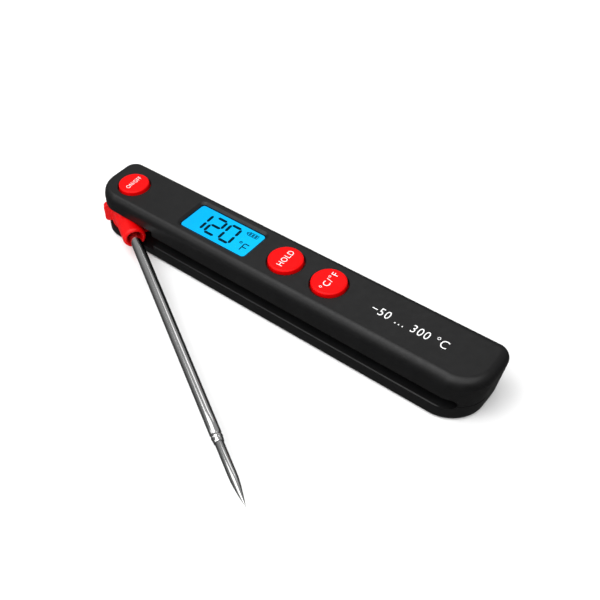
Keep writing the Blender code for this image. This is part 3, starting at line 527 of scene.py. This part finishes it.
def hinge_gap(name):
    """The room between the jaws: open at the hinge end and the -Y side, round at the hub."""
    low = (HINGE_END_X - 5 * MM, -PAST_WALL, JAW_LOW_Z)
    gap = box(name, low, (HINGE.x + 6.2 * MM, PAST_WALL, JAW_HIGH_Z))
    pocket_high = (HINGE.x + POCKET_LENGTH, -PROBE_OFFSET + BARREL_RADIUS + GAP, JAW_HIGH_Z)
    shaped(gap, box(name + "_pocket", (HINGE.x, -PAST_WALL, JAW_LOW_Z), pocket_high), "UNION")
    profile = [(HUB_RADIUS + GAP, JAW_LOW_Z), (HUB_RADIUS + GAP, JAW_HIGH_Z)]
    return shaped(gap, turned(name + "_hub", profile, 96, centre=(HINGE.x, HINGE.y)), "UNION")


def slot_section(radius):
    """(x, z) points of the probe slot's outline, round at its far end."""
    start_x = HINGE.x + POCKET_LENGTH - 4 * MM
    end = arc((SLOT_END_X - SLOT_HALF_HEIGHT, HINGE.z), radius, -90.0, 90.0, 24)
    return [(start_x, HINGE.z + radius), (start_x, HINGE.z - radius)] + end


def probe_slot(name):
    """The slot that the probe folds into, with a softened mouth along the side wall."""
    flare = SLOT_FLARE
    rings = [[(x, SLOT_INNER_Y, z) for x, z in slot_section(SLOT_HALF_HEIGHT)]]
    for out, grow in ((-flare, 0.0), (-0.35 * flare, 0.1 * flare), (0.0, 0.4 * flare), (0.6 * flare, flare)):
        rings.append([(x, -half_width(x) - out, z) for x, z in slot_section(SLOT_HALF_HEIGHT + grow)])
    rings.append([(x, -PAST_WALL, z) for x, z in slot_section(SLOT_HALF_HEIGHT + flare)])
    return loft(name, rings)


def divider_pocket(name):
    """Room for the strip that closes the slot's inner side, open towards the slot."""
    low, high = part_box("slot_divider")
    room = GAP + 0.02 * MM
    start = (low.x - room, low.y - 0.5 * MM, low.z - room)
    return box(name, start, (high.x + room, high.y + room, high.z + room))


def channel(name, z_low, z_high):
    """The solid strip along the -Y wall that the slot is cut into."""
    start_x = HINGE.x + 15 * MM
    end_x = SLOT_END_X + SLOT_COVER
    inner_y = SLOT_INNER_Y + 0.9 * MM
    wall = [(x, y) for x, y in handle_outline(WALL / 2, z_low) if start_x < x < end_x and y < 0.0]
    outline = [(start_x, WALL / 2 - half_width(start_x))] + wall
    outline += [(wall[-1][0], inner_y), (start_x, inner_y)]
    return prism(name, outline, z_low, z_high)


def key_place(name):
    """A button's centre in plan, its cap's radius, and its top."""
    low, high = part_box(name + "_button")
    return middle_of(name + "_button"), (high.x - low.x) / 2 - KEY_FLANGE, high.z


def display_opening(name):
    """A window with a sloped frame round it, softened at its rim."""
    size = LENS_HIGH - LENS_LOW
    middle = (LENS_HIGH + LENS_LOW) / 2
    rim = GAP + FRAME_SLOPE
    levels = [(GAP, CEILING_Z - 2 * MM), (GAP, LENS_HIGH.z), (GAP + 0.82 * FRAME_SLOPE, HEIGHT - 0.09 * MM),
              (rim, HEIGHT), (rim + 0.15 * MM, HEIGHT + 0.5 * MM)]
    rings = []
    for grow, z in levels:
        outline = rounded_rectangle(middle, (size.x + 2 * grow, size.y + 2 * grow), 0.9 * MM + grow)
        rings.append([(x, y, z) for x, y in outline])
    return loft(name, rings)


def make_upper_shell():
    """The top: a hollow shell, its solid parts joined on, then every opening cut."""
    inner_z = PARTING_UPPER + RIM_STEP
    inner = [(WALL + 1.6 * MM, CEILING_Z), (WALL + 0.4 * MM, CEILING_Z - 0.7 * MM),
             (WALL, CEILING_Z - 1.9 * MM), (WALL, PARTING_UPPER)]
    rim = [(RIM, PARTING_UPPER), (0.3 * RIM, PARTING_UPPER + 0.3 * RIM), (0.0, PARTING_UPPER + RIM)]
    edge = rounded_edge(EDGE_TOP_IN, EDGE_TOP_DOWN, HEIGHT, 16)
    rings = [handle_ring(inset, z) for inset, z in inner + rim]
    rings += [handle_ring(inset, z, EDGE_SPREAD) for inset, z in edge]
    shell = loft("housing_top", rings)
    outline = clipped_outline(WALL / 2, JAW_BLOCK_END_X)
    shaped(shell, prism("block", outline, inner_z, JAW_HIGH_Z + 1.0 * MM), "UNION")
    shaped(shell, channel("strip", inner_z, HINGE.z + SLOT_HALF_HEIGHT + SLOT_COVER), "UNION")
    for centre in SCREW_CENTRES[1:]:
        profile = [(2.1 * MM, inner_z), (2.1 * MM, CEILING_Z + WALL / 2)]
        shaped(shell, turned("boss", profile, 32, centre), "UNION")
    shaped(shell, hinge_gap("gap"))
    shaped(shell, probe_slot("slot"))
    shaped(shell, divider_pocket("divider_room"))
    profile = [(BEARING_RADIUS, JAW_HIGH_Z - 1 * MM), (BEARING_RADIUS, JAW_HIGH_Z + 1.5 * MM)]
    shaped(shell, turned("bearing", profile, 64, centre=(HINGE.x, HINGE.y)))
    for name in ("on_off", "hold", "unit"):
        centre, radius, _ = key_place(name)
        hole = radius + KEY_CLEARANCE
        profile = [(hole, CEILING_Z - 1 * MM)]
        profile += [(hole + inset, z) for inset, z in rounded_edge(KEY_HOLE_EDGE, KEY_HOLE_EDGE, HEIGHT, 6)]
        profile += [(hole + 1.2 * KEY_HOLE_EDGE, HEIGHT + 2 * MM)]
        shaped(shell, turned("hole", profile, 96, centre))
    shaped(shell, display_opening("window"))
    for centre in SCREW_CENTRES:
        shaped(shell, turned("pilot", [(1.2 * MM, 0.0), (1.2 * MM, 12.0 * MM)], 24, centre))
    weighted(finish_piece(shell, "handle", "shell_black", ["upper_shell"], sharp=40.0))


def door_shape(name, clearance):
    """The battery door's plate with a tongue along each side; grown by clearance it is the opening."""
    tongue = 0.8 * MM
    middle_y = (DOOR_LOW.y + DOOR_HIGH.y) / 2
    half = (DOOR_HIGH.y - DOOR_LOW.y) / 2 - tongue + clearance
    wide = half + tongue
    step_z = 0.9 * MM - clearance
    top_z = DOOR_HIGH.z + clearance * 1.5
    section = [(-half, -1 * MM), (half, -1 * MM), (half, step_z), (wide, step_z),
               (wide, top_z), (-wide, top_z), (-wide, step_z), (-half, step_z)]
    ends = (DOOR_LOW.x - clearance, FAR_END_X + 5 * MM)
    return loft(name, [[(x, middle_y + y, z) for y, z in section] for x in ends])


def make_lower_shell():
    """The back, made the same way, with the battery bay's walls and the door's opening."""
    inner_z = PARTING_LOWER - RIM_STEP
    rim = [(RIM, PARTING_LOWER), (0.3 * RIM, PARTING_LOWER - 0.3 * RIM), (0.0, PARTING_LOWER - RIM)]
    pairs = [(WALL + 0.6 * MM, WALL), (WALL, WALL + 0.6 * MM), (WALL, PARTING_LOWER)] + rim
    pairs += rounded_edge(EDGE_BACK, -EDGE_BACK, 0.0, 8)
    shell = loft("housing_back", [handle_ring(inset, z) for inset, z in pairs])
    shaped(shell, prism("block", clipped_outline(WALL / 2, JAW_BLOCK_END_X), WALL / 2, inner_z), "UNION")
    shaped(shell, channel("strip", HINGE.z - SLOT_HALF_HEIGHT - SLOT_COVER, inner_z), "UNION")
    for centre in SCREW_CENTRES[1:]:
        shaped(shell, turned("boss", [(2.5 * MM, WALL / 2), (2.5 * MM, inner_z)], 32, centre), "UNION")
    cell_low, cell_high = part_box("battery_cell")
    for x, low_z in ((cell_low.x - 5.0 * MM, WALL / 2), (cell_high.x + 1.0 * MM, 2.4 * MM)):
        low = (x, SLOT_INNER_Y + 0.45 * MM, low_z)
        shaped(shell, box("bay_wall", low, (x + 1.0 * MM, half_width(x) - WALL / 2, inner_z)), "UNION")
    shaped(shell, hinge_gap("gap"))
    shaped(shell, probe_slot("slot"))
    shaped(shell, divider_pocket("divider_room"))
    profile = [(BEARING_RADIUS, 1.4 * MM), (BEARING_RADIUS, JAW_LOW_Z + 1 * MM)]
    shaped(shell, turned("bearing", profile, 64, centre=(HINGE.x, HINGE.y)))
    for centre in SCREW_CENTRES:
        profile = [(2.6 * MM, -0.3 * MM), (2.35 * MM, 0.0), (2.16 * MM, 0.1 * MM), (2.1 * MM, 0.25 * MM),
                   (2.1 * MM, 1.9 * MM), (1.2 * MM, 1.9001 * MM), (1.2 * MM, 9 * MM)]
        shaped(shell, turned("screw_hole", profile, 48, centre))
    shaped(shell, door_shape("door_opening", GAP))
    weighted(finish_piece(shell, "handle", "shell_black", ["lower_shell"], sharp=40.0))


def make_door():
    """The sliding battery door, with rounded grip grooves near its inner end."""
    door = door_shape("battery_cover", 0.0)
    pairs = list(reversed(rounded_edge(EDGE_BACK, -EDGE_BACK, 0.0, 8))) + [(0.0, HEIGHT / 2)]
    shaped(door, loft("end_shape", [handle_ring(inset, z) for inset, z in pairs]), "INTERSECT")
    middle_y = (DOOR_LOW.y + DOOR_HIGH.y) / 2
    for k in range(GRIP_GROOVES):
        x = DOOR_LOW.x + 4.95 * MM + GRIP_PITCH * k
        section = arc((x, -0.3 * MM), 0.75 * MM, 0.0, 360.0, 24)[:-1]
        groove = loft("grip", [[(u, middle_y + side * 3.5 * MM, v) for u, v in section] for side in (-1, 1)])
        shaped(door, groove)
    weighted(finish_piece(door, "door", "shell_black", ["battery_door"], sharp=40.0))


# ---------------------------------------------------------------- buttons and legends

def cap_drop(share):
    """How far a cap's face lies below its middle, at a share of its radius, with a rounded rim."""
    dome = CAP_DOME * min(share, 1.0) ** 2
    start = 1.0 - CAP_RIM
    if share <= start:
        return dome
    reach = min((share - start) / CAP_RIM, 1.0)
    return dome + CAP_RIM_DROP * (1.0 - math.sqrt(1.0 - reach * reach * 0.999))


def make_button(name, legend_name, words, length, height, spacing):
    """A domed cap with its flange below the hole, and the legend printed on it."""
    centre, radius, highest = key_place(name)
    top_z = highest - LEGEND_LIFT
    low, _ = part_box(name + "_button")
    flange = radius + KEY_FLANGE
    chamfer = 0.1 * MM
    flange_z = low.z + 0.7 * MM
    profile = [(0.4 * MM, low.z), (flange - chamfer, low.z), (flange, low.z + chamfer),
               (flange, flange_z - chamfer), (flange - chamfer, flange_z), (radius, flange_z)]
    shares = [1.0 - CAP_RIM * (1.0 - math.sin(math.radians(7.5 * k))) for k in range(12, -1, -1)]
    shares += [(1.0 - CAP_RIM) * k / 8 for k in range(7, 0, -1)]
    profile += [(radius * share, top_z - cap_drop(share)) for share in shares]
    cap = turned(name + "_cap", profile, 96, centre)
    body = name + "_key"
    finish_piece(cap, body, "button_red", [name + "_button"], sharp=50.0)

    text = flat_text(legend_name, words, length, height, LEGEND_ANGLE, spacing)
    lay_text(text, centre, lambda reach: top_z - cap_drop(reach / radius))
    finish_piece(text, body, "button_red", material=FINISHES["legend_white"])


def lay_text(text, centre, surface_z):
    """Moves a text to its centre, lifted off the surface above and sunk into it below."""
    for vertex in text.data.vertices:
        lift = LEGEND_LIFT if vertex.co.z > 0.0 else -3 * LEGEND_LIFT
        vertex.co.z = surface_z(math.hypot(vertex.co.x, vertex.co.y)) + lift
        vertex.co.x += centre[0]
        vertex.co.y += centre[1]


def flat_text(name, words, length, height, angle, spacing=1.15):
    """Words as a thin solid centred on the origin, fitted to a length and a height, turned in plan."""
    curve = bpy.data.curves.new(name, "FONT")
    curve.body = words
    curve.resolution_u = 5
    curve.extrude = 0.02
    curve.offset = -0.002   # a little thinner than the typeface
    curve.space_character = spacing
    holder = bpy.data.objects.new(name + "_outline", curve)
    bpy.context.scene.collection.objects.link(holder)
    bpy.context.view_layer.update()
    mesh = bpy.data.meshes.new_from_object(holder.evaluated_get(bpy.context.evaluated_depsgraph_get()))
    bpy.data.objects.remove(holder)
    xs = [v.co.x for v in mesh.vertices]
    ys = [v.co.y for v in mesh.vertices]
    middle = Vector(((min(xs) + max(xs)) / 2, (min(ys) + max(ys)) / 2, 0.0))
    scale = Matrix.Diagonal((length / (max(xs) - min(xs)), height / (max(ys) - min(ys)), MM, 1.0))
    mesh.transform(Matrix.Rotation(math.radians(angle), 4, "Z") @ scale @ Matrix.Translation(-middle))
    bm = bmesh.new()
    bm.from_mesh(mesh)
    bmesh.ops.remove_doubles(bm, verts=bm.verts, dist=0.002 * MM)
    piece = new_piece(name, bm)
    bpy.data.meshes.remove(mesh)
    return piece


def make_range_legend():
    """A plain temperature range printed on the top face, towards the far end."""
    text = flat_text("range_legend", "−50 … 300 °C", 27.0 * MM, 3.4 * MM, 0.0)
    lay_text(text, RANGE_LEGEND_PLACE, lambda reach: HEIGHT)
    finish_piece(text, "handle", "shell_black", material=FINISHES["legend_white"])


# ---------------------------------------------------------------- display

def bar(start, end, width):
    """Six corners of one leaning display segment between two points, with bevelled ends."""
    (x0, y0), (x1, y1) = start, end
    length = math.hypot(x1 - x0, y1 - y0)
    ux, uy = (x1 - x0) / length, (y1 - y0) / length
    half = width / 2
    corners = []
    for along, across in ((0.0, 0.0), (half, -half), (length - half, -half), (length, 0.0),
                          (length - half, half), (half, half)):
        x = x0 + ux * along - uy * across
        y = y0 + uy * along + ux * across
        corners.append((x + DIGIT_LEAN * y, y))
    return corners


def digit_bars(digit, left):
    """The lit segments of one seven-segment digit whose left side stands at left."""
    right = left + DIGIT_SIZE[0]
    top = DIGIT_SIZE[1] / 2
    slit = DIGIT_STROKE * 0.3
    ends = {"a": ((left, top), (right, top)), "g": ((left, 0.0), (right, 0.0)),
            "d": ((left, -top), (right, -top)),
            "f": ((left, 0.0), (left, top)), "b": ((right, 0.0), (right, top)),
            "e": ((left, -top), (left, 0.0)), "c": ((right, -top), (right, 0.0))}
    bars = []
    for segment in SEGMENTS[digit]:
        (x0, y0), (x1, y1) = ends[segment]
        if y0 == y1:
            x0, x1 = x0 + slit / 2, x1 - slit / 2
        else:
            y0, y1 = y0 + slit / 2, y1 - slit / 2
        bars.append(bar((x0, y0), (x1, y1), DIGIT_STROKE))
    return bars


def flat_group(name, outlines, z_low, z_high, material):
    """Several thin flat solids as one piece of the display."""
    bm = bmesh.new()
    for outline in outlines:
        loops = [[bm.verts.new((x, y, z)) for x, y in outline] for z in (z_low, z_high)]
        count = len(outline)
        for i in range(count):
            j = (i + 1) % count
            bm.faces.new((loops[0][i], loops[0][j], loops[1][j], loops[1][i]))
        bm.faces.new(list(reversed(loops[0])))
        bm.faces.new(loops[1])
    finish_piece(new_piece(name, bm), "handle", "lcd_glass", material=material, sharp=30.0)


def ring_outlines(centre, size, radius, stroke):
    """A rounded frame as quads, so that thin solids can be made of them."""
    outer = rounded_rectangle(centre, size, radius, 5)
    inner_size = (size[0] - 2 * stroke, size[1] - 2 * stroke)
    inner = rounded_rectangle(centre, inner_size, max(radius - stroke, 0.05 * MM), 5)
    count = len(outer)
    return [(outer[i], outer[(i + 1) % count], inner[(i + 1) % count], inner[i]) for i in range(count)]


def make_display():
    """A clear cover over the lit face, with the dark digits between them."""
    size = LENS_HIGH - LENS_LOW
    middle = (LENS_HIGH + LENS_LOW) / 2
    cover_low = LENS_HIGH.z - 0.22 * MM
    face_z = cover_low - 0.08 * MM
    outline = rounded_rectangle(middle, (size.x, size.y), LENS_RADIUS)
    edge = 0.05 * MM
    rings = []
    for grow, z in ((0.0, cover_low), (0.0, LENS_HIGH.z - edge), (-edge, LENS_HIGH.z)):
        ring = rounded_rectangle(middle, (size.x + 2 * grow, size.y + 2 * grow), LENS_RADIUS)
        rings.append([(x, y, z) for x, y in ring])
    finish_piece(loft("display_cover", rings), "handle", "display_lens", ["display_lens"])
    lit = lit_display("lit_face", middle, size)
    face = prism("display_face", outline, LENS_LOW.z, face_z)
    finish_piece(face, "handle", "display_lens", material=lit)

    def ink(name, outlines, finish):
        """Dark shapes on the face, their outlines drawn from its middle."""
        placed = [[(x + middle.x, y + middle.y) for x, y in outline] for outline in outlines]
        flat_group(name, placed, face_z - 0.02 * MM, face_z + 0.03 * MM, FINISHES[finish])

    bars = []
    for digit, left in DIGITS:
        bars += digit_bars(digit, left)
    ink("display_digits", bars, "digit_black")

    left, top, low_y = 10.2 * MM, -0.7 * MM, -4.1 * MM
    strokes = (((left, top), (left + 2.0 * MM, top)),
               ((left, top - 1.7 * MM), (left + 1.9 * MM, top - 1.7 * MM)), ((left, low_y), (left, top)))
    letter = [bar(start, end, LETTER_STROKE) for start, end in strokes]
    letter += ring_outlines((8.75 * MM, -0.9 * MM), (1.15 * MM, 1.15 * MM), 0.57 * MM, 0.3 * MM)
    ink("display_scale_letter", letter, "digit_black")

    cell = (9.9 * MM, 4.0 * MM)
    icon = ring_outlines(cell, (4.3 * MM, 1.9 * MM), 0.35 * MM, 0.25 * MM)
    icon.append(rectangle(7.25 * MM, 3.55 * MM, 7.7 * MM, 4.45 * MM))
    for k in range(3):
        x = cell[0] + (k - 1) * 1.2 * MM
        icon.append(rectangle(x - 0.4 * MM, 3.4 * MM, x + 0.4 * MM, 4.6 * MM))
    ink("display_cell_icon", icon, "icon_blue")


# ---------------------------------------------------------------- probe

def make_hub():
    """The red hub: the CAD solid remeshed finely, with its barrel blended into the disc."""
    source = frame["nodes"]["probe_hub"]
    piece = bpy.data.objects.new("pivot_hub", source.data.copy())
    bpy.context.scene.collection.objects.link(piece)
    remesh = piece.modifiers.new("even", "REMESH")
    remesh.mode = "VOXEL"
    remesh.voxel_size = HUB_VOXEL
    apply_modifiers(piece)
    to_probe = Matrix.Rotation(-PROBE_ANGLE, 4, "Z") @ Matrix.Translation(-Vector((HINGE.x, HINGE.y, 0.0)))
    blend = piece.vertex_groups.new(name="blend")
    for vertex in piece.data.vertices:
        place = to_probe @ vertex.co
        off_barrel = abs(math.hypot(place.y + PROBE_OFFSET, place.z - HINGE.z) - BARREL_RADIUS)
        off_disc = abs(math.hypot(place.x, place.y) - HUB_RADIUS)
        near = max(off_barrel, off_disc)
        if place.x > 4 * MM and near < HUB_BLEND:
            blend.add([vertex.index], 1.0 - near / HUB_BLEND, "REPLACE")
    smooth = piece.modifiers.new("blend", "SMOOTH")
    smooth.factor = 0.5
    smooth.iterations = 30
    smooth.vertex_group = "blend"
    even = piece.modifiers.new("even_out", "SMOOTH")
    even.factor = 0.5
    even.iterations = 3
    apply_modifiers(piece)
    finish_piece(piece, "probe", "hub_red", ["probe_hub"], sharp=180.0)


def make_tube():
    """The tube: a long slight taper, a groove and a rolled-in end, with its bore."""
    bore = TUBE_RADIUS_END - TUBE_WALL
    groove = TUBE_RADIUS_END - 0.17 * MM
    taper_at = BARREL_MOUTH + 2 * MM
    taper = STEP_AT - 3.6 * MM - taper_at
    profile = [(TUBE_RADIUS - 0.1 * MM, TUBE_ROOT), (TUBE_RADIUS, TUBE_ROOT + 0.1 * MM)]
    profile += [(TUBE_RADIUS + (TUBE_RADIUS_END - TUBE_RADIUS) * k / 12, taper_at + taper * k / 12)
                for k in range(13)]
    profile += [(groove, STEP_AT - 3.2 * MM), (groove, STEP_AT - 2.75 * MM)]
    profile += [(TUBE_RADIUS_END - 0.02 * MM - 0.25 * MM * (1 - math.sin(math.radians(30 * k + 30))),
                 STEP_AT - 2.6 * MM + 0.22 * MM * k) for k in range(5)]
    profile += [(TUBE_RADIUS_END - 0.12 * MM, STEP_AT - 1.3 * MM),
                (TIP_RADIUS + 0.22 * MM, STEP_AT - 0.35 * MM),
                (TIP_RADIUS + 0.1 * MM, STEP_AT), (bore, STEP_AT), (bore, TUBE_ROOT)]
    tube = along_probe(turned("probe_stem", profile, 96, closed=True))
    finish_piece(tube, "probe", "polished_steel", ["probe_tube"])


def make_tip():
    """The reduced tip: a thin straight run, then a long needle point."""
    start = STEP_AT - 4.0 * MM
    inner = TUBE_RADIUS_END - 0.7 * MM
    profile = [(inner - 0.1 * MM, start), (inner, start + 0.1 * MM), (inner, STEP_AT + 0.05 * MM),
               (TIP_RADIUS - 0.05 * MM, STEP_AT + 0.12 * MM), (TIP_RADIUS, STEP_AT + 0.3 * MM),
               (TIP_RADIUS, POINT_AT)]
    reach = TIP_AT - POINT_AT
    for k in range(1, 25):
        radius = TIP_RADIUS * (1 - (k / 24) ** 1.55)
        profile.append((max(radius, 0.06 * MM), POINT_AT + reach * k / 24))
    tip = along_probe(turned("probe_needle", profile, 96))
    finish_piece(tip, "probe", "polished_steel", ["probe_tip"])


# ---------------------------------------------------------------- stage

def make_floor():
    """A plain pale floor just under the handle."""
    bm = bmesh.new()
    bmesh.ops.create_grid(bm, x_segments=8, y_segments=8, size=3.0)
    finish = Finish("pale_floor").set(Specular_IOR_Level=0.1)
    finish.colour(finish.noise(3.0), (0.90, 0.90, 0.90), (0.93, 0.93, 0.93))
    finish.roughness(finish.noise(20.0), 0.8, 0.9)
    floor = new_piece("floor", bm, finish.material)
    floor.location.z = -0.05 * MM
    floor.visible_glossy = False


def make_lights():
    """Soft lamps that all face the handle."""
    for name, place, size, power in LAMPS:
        lamp = bpy.data.lights.new(name, "AREA")
        lamp.shape = "RECTANGLE"
        lamp.size, lamp.size_y = size
        lamp.energy = power
        holder = bpy.data.objects.new(name, lamp)
        bpy.context.scene.collection.objects.link(holder)
        holder.location = place
        holder.rotation_euler = (-Vector(place)).to_track_quat("-Z", "Y").to_euler()


def make_world():
    """A grey sky that brightens upwards."""
    world = bpy.data.worlds.new("studio")
    world.use_nodes = True
    tree = world.node_tree
    background = tree.nodes["Background"]
    coordinates = tree.nodes.new("ShaderNodeTexCoord")
    split = tree.nodes.new("ShaderNodeSeparateXYZ")
    ramp = tree.nodes.new("ShaderNodeValToRGB")
    ramp.color_ramp.elements.new(0.5)
    for element, (position, grey) in zip(ramp.color_ramp.elements, SKY_GREYS):
        element.position = position
        element.color = (grey, grey, grey, 1.0)
    spread = tree.nodes.new("ShaderNodeMapRange")
    spread.inputs["From Min"].default_value = -1.0
    tree.links.new(coordinates.outputs["Generated"], split.inputs["Vector"])
    tree.links.new(split.outputs["Z"], spread.inputs["Value"])
    tree.links.new(spread.outputs["Result"], ramp.inputs["Fac"])
    tree.links.new(ramp.outputs["Color"], background.inputs["Color"])
    background.inputs["Strength"].default_value = SKY_STRENGTH
    bpy.context.scene.world = world


def make_camera():
    """The camera, by its place and three angles, seen from the -Y side and the far end."""
    azimuth, elevation, roll = (math.radians(angle) for angle in CAMERA_ANGLES)
    forward = Vector((-math.sin(azimuth) * math.cos(elevation), math.cos(azimuth) * math.cos(elevation),
                      -math.sin(elevation)))
    right = forward.cross(Vector((0.0, 0.0, 1.0))).normalized()
    down = forward.cross(right)
    across = math.cos(roll) * right + math.sin(roll) * down
    up = math.sin(roll) * right - math.cos(roll) * down
    data = bpy.data.cameras.new("camera")
    data.lens = CAMERA_LENS
    data.sensor_width = 36.0
    data.clip_start = 0.01
    camera = bpy.data.objects.new("camera", data)
    bpy.context.scene.collection.objects.link(camera)
    turn = Matrix((across, up, -forward)).transposed().to_4x4()
    camera.matrix_world = Matrix.Translation(CAMERA_PLACE) @ turn
    bpy.context.scene.camera = camera


def paint_inner_nodes():
    """Every CAD node that stays gets its slot's procedural material."""
    for node in frame["nodes"].values():
        for slot in node.material_slots:
            slot.material = FINISHES[slot.material.name.split(".")[0]]


FINISHES = finishes()
make_camera()
paint_inner_nodes()
make_upper_shell()
make_lower_shell()
make_door()
for legend in LEGENDS:
    make_button(*legend)
make_range_legend()
make_display()
make_hub()
make_tube()
make_tip()
make_floor()
make_lights()
make_world()
bpy.context.scene.view_settings.view_transform = "Standard"
